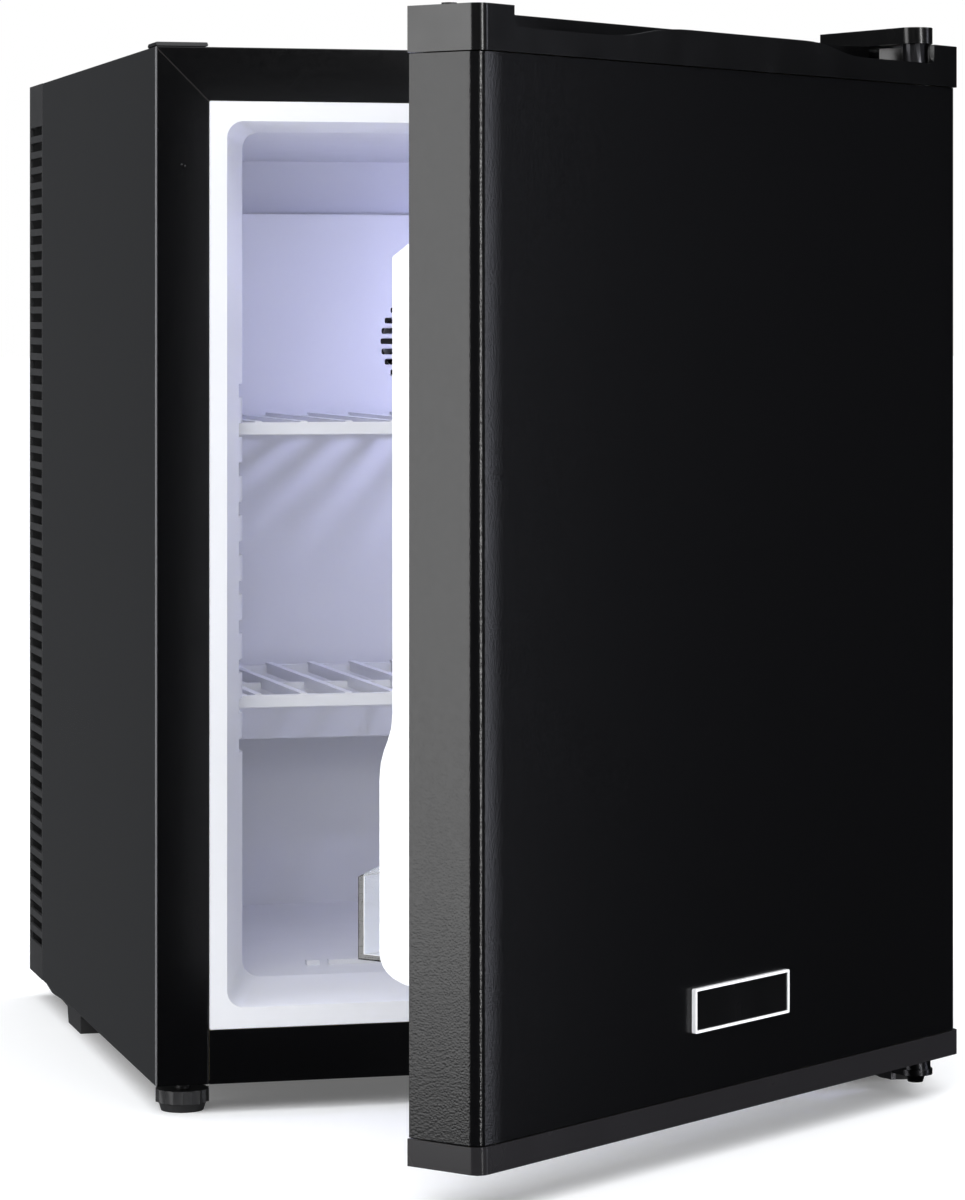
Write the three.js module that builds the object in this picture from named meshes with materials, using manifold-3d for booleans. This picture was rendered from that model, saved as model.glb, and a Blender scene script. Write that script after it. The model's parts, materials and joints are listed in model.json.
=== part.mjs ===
// A table-top thermoelectric mini fridge with its right-hinged door standing ajar.
//
// Millimetres. The cabinet is drawn in its own frame: x runs from its left side to its right,
// y from its front plane to the back, z up from its underside. The door is drawn closed, in a
// group whose origin is the hinge axis, and that group is then turned open.
import * as THREE from 'three';
import { mergeVertices } from 'three/addons/utils/BufferGeometryUtils.js';
import Module from 'manifold-3d';

const wasm = await Module();
wasm.setup();

// ---------------------------------------------------------------- driving dimensions
const GAP = 0.3; // play between pieces that touch
const OVER = 1; // how far a cutting tool runs past the face it opens

const W = 426; // cabinet width
const H = 533; // cabinet height without feet
const D = 420; // cabinet depth, rear cover included
const FOOT_DROP = 15; // underside above the ground

const SHEET = 1.2; // steel sheet
const FRAME = 28; // width of the black front frame
const SHELL_DEPTH = 372; // where the rear cover starts
const REAR_PANEL_Y = 361; // steel back of the foamed box

const LINER_WALL = 2;
const FLANGE = { x: 37.3, bottom: 38.7, top: 495.2 }; // inner edge of the white flange
const THROAT = { x: 53.5, bottom: 48.3, top: 491.1, y: 40 }; // end of the flared mouth
const BACK = { x: 57, bottom: 50, top: 485.3, y: 302 }; // back wall of the compartment
const CORNER = 9; // corner radius of the compartment
const LAP = 0.1; // how far two joined tapers run into each other

const RUNNER = { count: 10, pitch: 20.6, first: 170.4, height: 7.2, bevel: 0.7, root: 47.5, y0: 31, y1: 274 };
const SHELF = { front: 58, back: 266, side: 48.2, lip: 6.4, slats: 13, pitch: 24.5, slatWidth: 4 };
const UPPER_SHELF_SLOT = 8; // counted from the lowest runner
const LOWER_SHELF_SLOT = 1;

const DUCT = { x: 59, y: 272, bottom: 150, top: 454 }; // inner cooler cover
const COOLER = { x: W / 2, z: 380 }; // centre line of the thermoelectric stack

const DOOR = { width: 420, thick: 42, bottom: 4.9, top: 537, corner: 6, cornerSteps: 10, inset: 1 };
const DOOR_GAP = 12; // cabinet front to door back, filled by the gasket
const PIN = { x: W - DOOR.inset - 28, y: -(DOOR_GAP + DOOR.thick) + 11, radius: 4 };
const DOOR_AJAR = THREE.MathUtils.degToRad(38.1);
const TOP_SEAM = 515.6; // top cap meets the door skin
const BOTTOM_SEAM = 17.5; // bottom cap meets the door skin
const CAP_PROUD = 1; // the caps stand this far outside the skin

// the door closed, seen from the hinge axis
const FREE = W - DOOR.inset - DOOR.width - PIN.x; // x of the free edge
const HINGED = W - DOOR.inset - PIN.x; // x of the hinged edge
const FACE = -(DOOR_GAP + DOOR.thick) - PIN.y; // y of the front
const REAR = -DOOR_GAP - PIN.y; // y of the back
const CABINET_FACE = -PIN.y; // y of the cabinet's front plane

// ---------------------------------------------------------------- looks
const LOOKS = {
  blackSteel: { color: 0x1c1c1e, roughness: 0.45, metalness: 0.3 },
  blackPlastic: { color: 0x161617, roughness: 0.4, metalness: 0 },
  whitePlastic: { color: 0xe9eaf0, roughness: 0.35, metalness: 0 },
  clearPlastic: { color: 0xdfe6ea, roughness: 0.1, metalness: 0 },
  gasket: { color: 0xd8d9dc, roughness: 0.6, metalness: 0 },
  foam: { color: 0xe6d9a8, roughness: 0.9, metalness: 0 },
  zinc: { color: 0xb4b6b8, roughness: 0.35, metalness: 1 },
  aluminium: { color: 0xc9cbce, roughness: 0.4, metalness: 1 },
  ceramic: { color: 0xf1efe8, roughness: 0.6, metalness: 0 },
  brass: { color: 0xc9b27a, roughness: 0.3, metalness: 1 },
};

// ---------------------------------------------------------------- shape helpers
function box(x0, x1, y0, y1, z0, z1) {
  const geometry = new THREE.BoxGeometry(x1 - x0, y1 - y0, z1 - z0);
  return geometry.translate((x0 + x1) / 2, (y0 + y1) / 2, (z0 + z1) / 2);
}

function solid(shape) {
  if (!shape.isBufferGeometry) return shape;
  const bare = shape.clone();
  bare.deleteAttribute('normal');
  bare.deleteAttribute('uv');
  const merged = mergeVertices(bare);
  const vertProperties = merged.attributes.position.array;
  const triVerts = Uint32Array.from(merged.index.array);
  return new wasm.Manifold(new wasm.Mesh({ numProp: 3, vertProperties, triVerts }));
}

const join = (...shapes) => shapes.map(solid).reduce((whole, next) => whole.add(next));
const cut = (body, ...tools) => tools.map(solid).reduce((rest, tool) => rest.subtract(tool), solid(body));
const common = (a, b) => solid(a).intersect(solid(b));

function toGeometry(body) {
  const { vertProperties, triVerts } = body.getMesh();
  const geometry = new THREE.BufferGeometry();
  geometry.setAttribute('position', new THREE.BufferAttribute(vertProperties, 3));
  geometry.setIndex(new THREE.BufferAttribute(triVerts, 1));
  geometry.computeVertexNormals();
  return geometry;
}

function part(name, shape, look) {
  const geometry = shape.isBufferGeometry ? shape : toGeometry(shape);
  const mesh = new THREE.Mesh(geometry, new THREE.MeshStandardMaterial(look));
  mesh.name = name;
  return mesh;
}

const outline = (points) => new THREE.Shape(points.map(([a, b]) => new THREE.Vector2(a, b)));

function roundedRectangle(x0, x1, y0, y1, radius) {
  const shape = new THREE.Shape();
  shape.absarc(x1 - radius, y1 - radius, radius, 0, Math.PI / 2);
  shape.absarc(x0 + radius, y1 - radius, radius, Math.PI / 2, Math.PI);
  shape.absarc(x0 + radius, y0 + radius, radius, Math.PI, 1.5 * Math.PI);
  shape.absarc(x1 - radius, y0 + radius, radius, 1.5 * Math.PI, 2 * Math.PI);
  return shape;
}

const extrude = (shape, depth, curveSegments = 5) =>
  new THREE.ExtrudeGeometry(shape, { depth, bevelEnabled: false, curveSegments });

// a plan (x, y) raised from z0 to z1
const raise = (shape, z0, z1, curveSegments) => extrude(shape, z1 - z0, curveSegments).translate(0, 0, z0);
// a front view (x, z) run from y0 back to y1
const runBack = (shape, y0, y1, curveSegments) =>
  extrude(shape, y1 - y0, curveSegments).rotateX(Math.PI / 2).translate(0, y1, 0);
// a side view (y, z) run from x0 across to x1
const runAcross = (shape, x0, x1) =>
  extrude(shape, x1 - x0).rotateX(Math.PI / 2).rotateZ(Math.PI / 2).translate(x0, 0, 0);

// upright and front-to-back round posts
function postZ(x, y, radius, z0, z1, sides = 16) {
  const post = new THREE.CylinderGeometry(radius, radius, z1 - z0, sides);
  return post.rotateX(Math.PI / 2).translate(x, y, (z0 + z1) / 2);
}

const postY = (x, z, radius, y0, y1, sides = 16) =>
  new THREE.CylinderGeometry(radius, radius, y1 - y0, sides).translate(x, (y0 + y1) / 2, z);

// a rounded front-view rectangle that changes size evenly on its way back
function flare(from, to, y0, y1, radius) {
  const geometry = runBack(roundedRectangle(from.x0, from.x1, from.z0, from.z1, radius), y0, y1);
  const at = geometry.attributes.position;
  for (let i = 0; i < at.count; i += 1) {
    const t = (at.getY(i) - y0) / (y1 - y0);
    const u = (at.getX(i) - from.x0) / (from.x1 - from.x0);
    const v = (at.getZ(i) - from.z0) / (from.z1 - from.z0);
    const x0 = THREE.MathUtils.lerp(from.x0, to.x0, t);
    const x1 = THREE.MathUtils.lerp(from.x1, to.x1, t);
    const z0 = THREE.MathUtils.lerp(from.z0, to.z0, t);
    const z1 = THREE.MathUtils.lerp(from.z1, to.z1, t);
    at.setXYZ(i, THREE.MathUtils.lerp(x0, x1, u), at.getY(i), THREE.MathUtils.lerp(z0, z1, v));
  }
  return geometry;
}

const grown = (rectangle, by) => ({
  x0: rectangle.x0 - by,
  x1: rectangle.x1 + by,
  z0: rectangle.z0 - by,
  z1: rectangle.z1 + by,
});
const opening = ({ x, bottom, top }) => ({ x0: x, x1: W - x, z0: bottom, z1: top });
const mirrored = (x) => W - x;

// ---------------------------------------------------------------- cabinet shell
const HINGE_SCREWS = [{ x: 385, y: 32 }, { x: 409, y: 32 }];
const BOTTOM_SCREWS = [{ x: 384, y: 44 }, { x: 408, y: 44 }];
const SCREW = { shank: 2, hole: 2.4, head: 4, headHeight: 2.4 };
const FOOT = { x: 17, y: 16, radius: 14, stud: 4, hole: 4.4 };
const FEET = { left: FOOT.x, right: mirrored(FOOT.x) };
const PLUG = { width: 28, depth: 27, height: 2.2 };

function outerShell() {
  const wrap = box(0, W, 0, SHELL_DEPTH, 0, H);
  const room = box(SHEET, W - SHEET, SHEET, SHELL_DEPTH + OVER, -OVER, H - SHEET);
  const mouth = box(FRAME, W - FRAME, -OVER, SHEET + OVER, -OVER, H - FRAME + 0.4);
  const holes = HINGE_SCREWS.map(({ x, y }) => postZ(x, y, SCREW.hole, H - 4, H + OVER));
  return part('outer_shell', cut(wrap, room, mouth, ...holes), LOOKS.blackSteel);
}

function frontBottomRail() {
  const face = box(FRAME + GAP, W - FRAME - GAP, 0, SHEET, 0, FRAME - 0.4);
  const sole = box(SHEET + GAP, W - SHEET - GAP, SHEET + GAP, 30, 0, SHEET);
  const link = box(FRAME + GAP, W - FRAME - GAP, 0, 4, 0, SHEET);
  const holes = Object.values(FEET).map((x) => postZ(x, FOOT.y, FOOT.hole, -OVER, 3));
  return part('front_bottom_rail', cut(join(face, link, sole), ...holes), LOOKS.blackSteel);
}

function basePan() {
  const pan = box(SHEET + GAP, W - SHEET - GAP, 30 + GAP, REAR_PANEL_Y - GAP, 0, 1.5);
  const holes = BOTTOM_SCREWS.map(({ x, y }) => postZ(x, y, SCREW.hole, -OVER, 3));
  return part('base_pan', cut(pan, ...holes), LOOKS.blackSteel);
}

const SINK = { half: 60, tall: 70, y0: 350, base: 6, finEnd: 382, fins: 15 };
const WINDOW = { half: 27, tall: 27 }; // passage for the transfer block

function rearPanel() {
  const sheet = box(SHEET + GAP, W - SHEET - GAP, REAR_PANEL_Y, REAR_PANEL_Y + SHEET, GAP, H - SHEET - GAP);
  const window = box(
    COOLER.x - SINK.half - 2, COOLER.x + SINK.half + 2, REAR_PANEL_Y - OVER, REAR_PANEL_Y + 3,
    COOLER.z - SINK.tall - 2, COOLER.z + SINK.tall + 2,
  );
  return part('rear_panel', cut(sheet, window), LOOKS.blackSteel);
}

// ---------------------------------------------------------------- liner and insulation
function linerOutside(by) {
  const wall = LINER_WALL + by;
  const [mouth, neck, back] = [FLANGE, THROAT, BACK].map((place) => grown(opening(place), wall));
  const throat = flare(mouth, neck, 1.2, THROAT.y, CORNER);
  const body = flare(neck, back, THROAT.y - LAP, BACK.y + wall, CORNER);
  const margin = 10 + by;
  const low = RUNNER.first - margin;
  const high = RUNNER.first + RUNNER.pitch * (RUNNER.count - 1) + margin;
  const inner = RUNNER.root - LINER_WALL - by;
  const [front, rear] = [RUNNER.y0 - 2 - by, RUNNER.y1 + 3 + by];
  const left = box(inner, BACK.x + 2, front, rear, low, high);
  const right = box(mirrored(BACK.x + 2), mirrored(inner), front, rear, low, high);
  return join(throat, body, left, right);
}

function linerInside() {
  const throat = flare(opening(FLANGE), opening(THROAT), 0, THROAT.y, CORNER);
  const body = flare(opening(THROAT), opening(BACK), THROAT.y - LAP, BACK.y, CORNER);
  return join(throat, body);
}

function runnerGrooves() {
  const grooves = [];
  for (let i = 0; i < RUNNER.count; i += 1) {
    const z = RUNNER.first + RUNNER.pitch * i;
    const [low, high] = [z - RUNNER.height / 2, z + RUNNER.height / 2];
    const [root, bevel] = [RUNNER.root, RUNNER.bevel];
    const section = [
      [BACK.x + 4, low], [BACK.x + 4, high], [root + bevel, high],
      [root, high - bevel], [root, low + bevel], [root + bevel, low],
    ];
    grooves.push(runBack(outline(section), RUNNER.y0, RUNNER.y1));
    grooves.push(runBack(outline(section.map(([x, height]) => [mirrored(x), height])), RUNNER.y0, RUNNER.y1));
  }
  return grooves;
}

const coolerWindow = (by) => box(
  COOLER.x - WINDOW.half - by, COOLER.x + WINDOW.half + by, BACK.y - OVER, REAR_PANEL_Y,
  COOLER.z - WINDOW.tall - by, COOLER.z + WINDOW.tall + by,
);

const RIB = { y: 71, depth: 5, height: 3.2, x: 107, nubFrom: 95, nubTo: 102 }; // raised bars on the floor

function innerLiner() {
  const edge = roundedRectangle(FRAME + GAP, W - FRAME - GAP, FRAME, H - FRAME + GAP, 0.8);
  const flange = runBack(edge, GAP, GAP + LINER_WALL);
  const shell = cut(join(flange, linerOutside(0)), linerInside(), ...runnerGrooves(), coolerWindow(0));
  const floor = THROAT.bottom - 0.5;
  const bar = (x0, x1) => box(x0, x1, RIB.y, RIB.y + RIB.depth, floor, floor + RIB.height);
  const rib = bar(RIB.x, mirrored(RIB.x));
  const nubs = [bar(RIB.nubFrom, RIB.nubTo), bar(mirrored(RIB.nubTo), mirrored(RIB.nubFrom))];
  return part('inner_liner', join(shell, rib, ...nubs), LOOKS.whitePlastic);
}

const NUT = { radius: 8, z0: SHEET + GAP, z1: 9 };

function cabinetFoam() {
  const block = box(SHEET + GAP, W - SHEET - GAP, 2.6, REAR_PANEL_Y - GAP, 1.8, H - SHEET - GAP);
  const flangeRoom = box(FRAME - 1, W - FRAME + 1, 2, 3.2, FRAME - 1, H - FRAME + 1);
  const sinkRoom = box(
    COOLER.x - SINK.half - 2, COOLER.x + SINK.half + 2, SINK.y0 - 1, REAR_PANEL_Y,
    COOLER.z - SINK.tall - 2, COOLER.z + SINK.tall + 2,
  );
  const pockets = Object.values(FEET).map((x) => box(x - 10, x + 10, 2, FOOT.y + 10, 0, 14));
  const topHoles = HINGE_SCREWS.map(({ x, y }) => postZ(x, y, 3, H - 14, H + OVER));
  const bottomHoles = BOTTOM_SCREWS.map(({ x, y }) => postZ(x, y, 3, 0, 12));
  const holes = [...pockets, ...topHoles, ...bottomHoles];
  const rooms = [linerOutside(GAP), flangeRoom, coolerWindow(2), sinkRoom];
  return part('cabinet_foam', cut(block, ...rooms, ...holes), LOOKS.foam);
}

// ---------------------------------------------------------------- thermoelectric cooler
const COLD = { half: 32, y0: 296, y1: 300.2, finFront: 287 };
const FAN = {
  cold: { half: 30, y0: 275.5, y1: 286.5, bore: 28 },
  hot: { half: 40, y0: 383, y1: 398, bore: 37.5 },
};

const FAN_SHAFT = { radius: 1.5, bore: 1.6, length: 7 };
const BLADE_TILT = THREE.MathUtils.degToRad(62);

const FIN = 1.5; // fin thickness

function finnedSink(name, { half, tall, base0, base1, fin0, fin1, fins }) {
  const plate = box(COOLER.x - half, COOLER.x + half, base0, base1, COOLER.z - tall, COOLER.z + tall);
  const pitch = (2 * half - FIN) / (fins - 1);
  const blades = [];
  for (let i = 0; i < fins; i += 1) {
    const x = COOLER.x - half + pitch * i;
    blades.push(box(x, x + FIN, fin0, fin1, COOLER.z - tall, COOLER.z + tall));
  }
  return part(name, join(plate, ...blades), LOOKS.aluminium);
}

function coldSink() {
  const { half, y0, y1, finFront } = COLD;
  const plate = { half, tall: half, base0: y0, base1: y1 };
  return finnedSink('cold_sink', { ...plate, fin0: finFront, fin1: y0 + 1, fins: 11 });
}

function hotSink() {
  const { half, tall, y0, base, finEnd, fins } = SINK;
  const plate = { half, tall, base0: y0, base1: y0 + base };
  return finnedSink('hot_sink', { ...plate, fin0: y0 + 1, fin1: finEnd, fins });
}

function transferBlock() {
  const half = WINDOW.half - 2;
  const { x, z } = COOLER;
  const block = box(x - half, x + half, COLD.y1 + GAP, SINK.y0 - 5, z - half, z + half);
  return part('transfer_block', block, LOOKS.aluminium);
}

function peltierModule() {
  const half = 20;
  const { x, z } = COOLER;
  const tile = box(x - half, x + half, SINK.y0 - 4.5, SINK.y0 - 0.5, z - half, z + half);
  return part('peltier_module', tile, LOOKS.ceramic);
}

function fanFrame(name, { half, y0, y1, bore }) {
  const frame = box(COOLER.x - half, COOLER.x + half, y0, y1, COOLER.z - half, COOLER.z + half);
  const hole = postY(COOLER.x, COOLER.z, bore, y0 - OVER, y1 + OVER, 32);
  const seat = postY(COOLER.x, COOLER.z, 9, y0, y0 + 1.5);
  const shaft = postY(COOLER.x, COOLER.z, FAN_SHAFT.radius, y0, y0 + FAN_SHAFT.length);
  const arms = [0, Math.PI / 2].map((turn) =>
    box(-bore - 1, bore + 1, y0, y0 + 1.5, -1.6, 1.6).rotateY(turn).translate(COOLER.x, 0, COOLER.z));
  return part(name, join(cut(frame, hole), seat, shaft, ...arms), LOOKS.blackPlastic);
}

function fanRotor(name, { y0, y1, bore }) {
  const hub = postY(COOLER.x, COOLER.z, 11, y0 + 2, y1 - 0.6, 20);
  const blades = [];
  const middle = (y0 + y1) / 2 + 0.7;
  const reach = bore - 1.5;
  const chord = y1 - y0 - 4;
  for (let i = 0; i < 7; i += 1) {
    const blade = box(9, reach, -0.6, 0.6, -chord, chord).rotateX(BLADE_TILT);
    blades.push(blade.rotateY((i * 2 * Math.PI) / 7).translate(COOLER.x, middle, COOLER.z));
  }
  const sweep = postY(COOLER.x, COOLER.z, bore - 1, y0 + 2, y1 - 0.6, 32);
  const shaftBore = postY(COOLER.x, COOLER.z, FAN_SHAFT.bore, y0, y0 + FAN_SHAFT.length + 0.5);
  return part(name, cut(common(join(hub, ...blades), sweep), shaftBore), LOOKS.blackPlastic);
}

function ductCover() {
  const hood = box(DUCT.x, W - DUCT.x, DUCT.y, BACK.y - 0.6, DUCT.bottom, DUCT.top);
  const room = box(DUCT.x + 2, W - DUCT.x - 2, DUCT.y + 2, BACK.y + OVER, DUCT.bottom + 2, DUCT.top - 2);
  const slots = [];
  for (let i = -4; i <= 4; i += 1) {
    const reach = Math.sqrt(30 ** 2 - (i * 6) ** 2);
    const z = COOLER.z + i * 6;
    slots.push(box(COOLER.x - reach, COOLER.x + reach, DUCT.y - OVER, DUCT.y + 3, z - 1.6, z + 1.6));
  }
  for (let i = -3; i <= 3; i += 1) { // cold air leaves through the underside
    const x = COOLER.x + i * 36;
    slots.push(box(x - 14, x + 14, DUCT.y + 7, DUCT.y + 21, DUCT.bottom - OVER, DUCT.bottom + 3));
  }
  return part('duct_cover', cut(hood, room, ...slots), LOOKS.whitePlastic);
}

// ---------------------------------------------------------------- rear cover and mains entry
const SLOT = { pitch: 9.3, height: 5.2, first: 21.6, count: 53, margin: 1.2, reach: 2.6, corner: 2.2 };
const INLET = { x: 350, z: 60, halfWidth: 15, halfHeight: 12 };
const COVER_SCREWS = [{ x: 12, z: 18 }, { x: W - 12, z: 18 }, { x: 12, z: H - 18 }, { x: W - 12, z: H - 18 }];
const COVER_Y = SHELL_DEPTH + GAP;

function rearCover() {
  const tub = box(0, W, COVER_Y, D, 0, H);
  const room = box(2, W - 2, COVER_Y - OVER, D - 2, 2, H - 2);
  const tools = [];
  for (let i = 0; i < SLOT.count; i += 1) {
    const low = SLOT.first + SLOT.pitch * i - SLOT.height / 2;
    const [front, high] = [COVER_Y + SLOT.margin, low + SLOT.height];
    tools.push(box(-OVER, SLOT.reach, front, D - SLOT.corner, low, high));
    tools.push(box(mirrored(SLOT.reach), W + OVER, front, D - SLOT.corner, low, high));
  }
  for (let i = -5; i <= 5; i += 1) {
    const x = COOLER.x + i * 18;
    tools.push(box(x - 4, x + 4, D - 3, D + OVER, COOLER.z - 75, COOLER.z + 75));
    tools.push(box(x - 4, x + 4, D - 3, D + OVER, 96, 176));
  }
  tools.push(box(
    INLET.x - INLET.halfWidth - GAP, INLET.x + INLET.halfWidth + GAP, D - 3, D + OVER,
    INLET.z - INLET.halfHeight - GAP, INLET.z + INLET.halfHeight + GAP,
  ));
  const bosses = COVER_SCREWS.map(({ x, z }) => postY(x, z, 5, REAR_PANEL_Y + SHEET + GAP, D - 1, 12));
  const bores = COVER_SCREWS.map(({ x, z }) => postY(x, z, SCREW.hole, REAR_PANEL_Y, D + OVER, 12));
  return part('rear_cover', cut(join(cut(tub, room, ...tools), ...bosses), ...bores), LOOKS.blackPlastic);
}

function rearCoverScrews() {
  return COVER_SCREWS.map(({ x, z }, i) => {
    const head = postY(x, z, SCREW.head, D + GAP, D + GAP + SCREW.headHeight, 12);
    const shank = postY(x, z, SCREW.shank, REAR_PANEL_Y + SHEET + 2, D + 1, 12);
    return part(`rear_cover_screw_${i + 1}`, join(head, shank), LOOKS.zinc);
  });
}

function powerInlet() {
  const { x, z, halfWidth, halfHeight } = INLET;
  const body = box(x - halfWidth, x + halfWidth, 391, D - GAP, z - halfHeight, z + halfHeight);
  const mouth = outline([
    [x - 12.2, z - 8.2], [x + 12.2, z - 8.2], [x + 12.2, z + 3.6],
    [x + 7.6, z + 8.2], [x - 7.6, z + 8.2], [x - 12.2, z + 3.6],
  ]);
  return part('power_inlet', cut(body, runBack(mouth, 403, D + OVER)), LOOKS.blackPlastic);
}

function inletPins() {
  const places = { earth: [0, 3.4], live: [-7, -1.4], neutral: [7, -1.4] };
  return Object.entries(places).map(([name, [dx, dz]]) => {
    const [x, z] = [INLET.x + dx, INLET.z + dz];
    return part(`inlet_pin_${name}`, box(x - 1, x + 1, 403 + GAP, 417, z - 2, z + 2), LOOKS.brass);
  });
}

function powerSupply() {
  const can = box(52, 172, REAR_PANEL_Y + SHEET + GAP, 408, 92, 182);
  const vents = [];
  for (let i = 0; i < 8; i += 1) {
    vents.push(box(64 + i * 13, 70 + i * 13, 402, 409, 104, 170));
  }
  return part('power_supply', cut(can, ...vents), LOOKS.aluminium);
}

// ---------------------------------------------------------------- inside control and lamp
const BOXED = { x0: 244, x1: 350, y0: 74, y1: 170, z0: 458, z1: 487 };
const KNOB = { x: 270, z: 472.5, radius: 11 };
const ROCKER = { x: 322, z: 472.5, halfWidth: 9.5, halfHeight: 6.5 };
const LENS = { x0: 262, x1: 332, y0: 110, y1: 150 };

function controlHousing() {
  const { x0, x1, y0, y1, z0, z1 } = BOXED;
  const hood = box(x0, x1, y0, y1, z0, z1);
  const room = box(x0 + 2, x1 - 2, y0 + 2, y1 - 2, z0 + 2, z1 + OVER);
  const shaftHole = postY(KNOB.x, KNOB.z, 3.4, y0 - OVER, y0 + 3);
  const rockerHole = box(
    ROCKER.x - ROCKER.halfWidth - 0.5, ROCKER.x + ROCKER.halfWidth + 0.5, y0 - OVER, y0 + 3,
    ROCKER.z - ROCKER.halfHeight - 1, ROCKER.z + ROCKER.halfHeight + 1,
  );
  const lampHole = box(LENS.x0 - GAP, LENS.x1 + GAP, LENS.y0 - GAP, LENS.y1 + GAP, z0 - OVER, z0 + 3);
  return part('control_housing', cut(hood, room, shaftHole, rockerHole, lampHole), LOOKS.whitePlastic);
}

function lampLens() {
  const pane = box(LENS.x0, LENS.x1, LENS.y0, LENS.y1, BOXED.z0 - 1.2, BOXED.z0 + 2);
  return part('lamp_lens', pane, LOOKS.clearPlastic);
}

function lampBoard() {
  const board = box(LENS.x0 + 2, LENS.x1 - 2, LENS.y0 + 2, LENS.y1 - 2, BOXED.z0 + 8, BOXED.z0 + 9.6);
  const diodes = [-20, 0, 20].map((dx) => {
    const x = (LENS.x0 + LENS.x1) / 2 + dx;
    return box(x - 2.5, x + 2.5, 127.5, 132.5, BOXED.z0 + 6.5, BOXED.z0 + 8.5);
  });
  return part('lamp_board', join(board, ...diodes), LOOKS.ceramic);
}

function thermostatKnob() {
  const cap = postY(0, 0, KNOB.radius, -12, -GAP, 24);
  const stem = postY(0, 0, 3, -1, 10);
  const pointer = box(-1, 1, -12.8, -11, 2, KNOB.radius - 1);
  const knob = part('thermostat_knob', join(cap, stem, pointer), LOOKS.whitePlastic);
  knob.position.set(KNOB.x, BOXED.y0, KNOB.z);
  return knob;
}

function lampSwitch() {
  const side = outline([[-1.6, -6.2], [4, -4.6], [4, 4.6], [-1.6, 6.2], [-0.4, 0]]);
  const body = runAcross(side, -ROCKER.halfWidth, ROCKER.halfWidth);
  const rocker = part('lamp_switch', body, LOOKS.whitePlastic);
  rocker.position.set(ROCKER.x, BOXED.y0, ROCKER.z);
  return rocker;
}

// ---------------------------------------------------------------- feet
function frontFoot(side, x) {
  const sides = 36;
  const knurl = new THREE.Shape();
  for (let i = 0; i < sides; i += 1) {
    const turn = (i * 2 * Math.PI) / sides;
    const radius = FOOT.radius - (i % 2 ? 0.9 : 0);
    knurl[i ? 'lineTo' : 'moveTo'](radius * Math.cos(turn), radius * Math.sin(turn));
  }
  const wheel = raise(knurl, -10.5, -3.8);
  const cone = new THREE.CylinderGeometry(12.6, 11, 5, 28);
  cone.rotateX(Math.PI / 2).translate(0, 0, -FOOT_DROP + 2.5);
  const stud = postZ(0, 0, FOOT.stud, -5, 12);
  const foot = part(`front_foot_${side}`, join(wheel, cone, stud), LOOKS.blackPlastic);
  foot.position.set(x, FOOT.y, 0);
  return foot;
}

function footNut(side, x) {
  const ring = cut(postZ(0, 0, NUT.radius, NUT.z0, NUT.z1, 6), postZ(0, 0, FOOT.hole, 0, 12));
  const nut = part(`foot_nut_${side}`, ring, LOOKS.zinc);
  nut.position.set(x, FOOT.y, 0);
  return nut;
}

const REAR_FOOT = { half: 12, front: 264, length: 42 };

// a block whose heel runs back under the rear cover, clear of the underside part of the way
function rearFoot(side, x) {
  const { half, front, length } = REAR_FOOT;
  const heel = [[4, -6.2], [26, -5.4], [60, -7], [84, -4.4], [104, -1.8], [108, -GAP]];
  const gap = [[80, -GAP], [72, -2.2], [60, -3.8], [50, -3], [44, -GAP]];
  const rear = [...heel, ...gap].map(([y, z]) => [length + y, z]);
  const profile = outline([[0, -GAP], [0, -FOOT_DROP], [length, -FOOT_DROP], ...rear]);
  const foot = part(`rear_foot_${side}`, runAcross(profile, -half, half), LOOKS.blackPlastic);
  foot.position.set(x, front, 0);
  return foot;
}

// ---------------------------------------------------------------- hinges
// the top bracket sits on the cabinet and reaches out over the door
const ARM = { low: H + GAP, high: H + 5.2, sheet: 2.6, nose: 9, x0: 378, x1: 416, y0: 20, y1: 44 };
const COVER_TOP = H + 13;
const COVER_WALL = 1.8;

// a plan that ends in a round nose about the hinge axis
const nosedPlan = (points, radius) => {
  const shape = new THREE.Shape();
  points.forEach(([x, y], i) => shape[i ? 'lineTo' : 'moveTo'](x, y));
  shape.absarc(PIN.x, PIN.y, radius, 1.12 * Math.PI, 2 * Math.PI);
  return shape;
};

function topHingeBracket() {
  const { x0, x1, y0, y1, low, high, sheet } = ARM;
  const seat = box(x0, x1, y0, y1, low, low + sheet);
  const riser = box(x0, x1, y0 - 3, y0 + 0.5, low, high + sheet);
  const arm = raise(nosedPlan([[x1, y0], [x0, y0], [x0, y0 - 12]], ARM.nose - 2.4), high, high + sheet, 10);
  const pin = postZ(PIN.x, PIN.y, PIN.radius, 509, high + 1);
  const collar = postZ(PIN.x, PIN.y, 6.6, 527.2, high + 1);
  const holes = HINGE_SCREWS.map(({ x, y }) => postZ(x, y, SCREW.hole, H, H + 6, 14));
  return part('top_hinge_bracket', cut(join(seat, riser, arm, pin, collar), ...holes), LOOKS.zinc);
}

// a narrow hood that widens to the rear, with a skirt down to the cabinet's top
function topHingeCover() {
  const foot = [[420, 3], [420, 48], [377, 48], [366, 20]];
  const outside = raise(nosedPlan(foot, ARM.nose), DOOR.top + 0.6, COVER_TOP, 12);
  const skirt = raise(outline([...foot, [371.8, 3]]), H + GAP, COVER_TOP);
  const inner = [[418, 4], [418, 46], [378.5, 46], [368.2, 20.2]];
  const room = raise(nosedPlan(inner, ARM.nose - COVER_WALL), H - OVER, COVER_TOP - COVER_WALL, 12);
  return part('top_hinge_cover', cut(join(outside, skirt), room), LOOKS.blackPlastic);
}

function screwDown(name, { x, y }, seat, tip) {
  const head = postZ(x, y, SCREW.head, seat + GAP, seat + GAP + SCREW.headHeight, 14);
  const shank = postZ(x, y, SCREW.shank, tip, seat + 1, 14);
  return part(name, join(head, shank), LOOKS.zinc);
}

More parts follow.
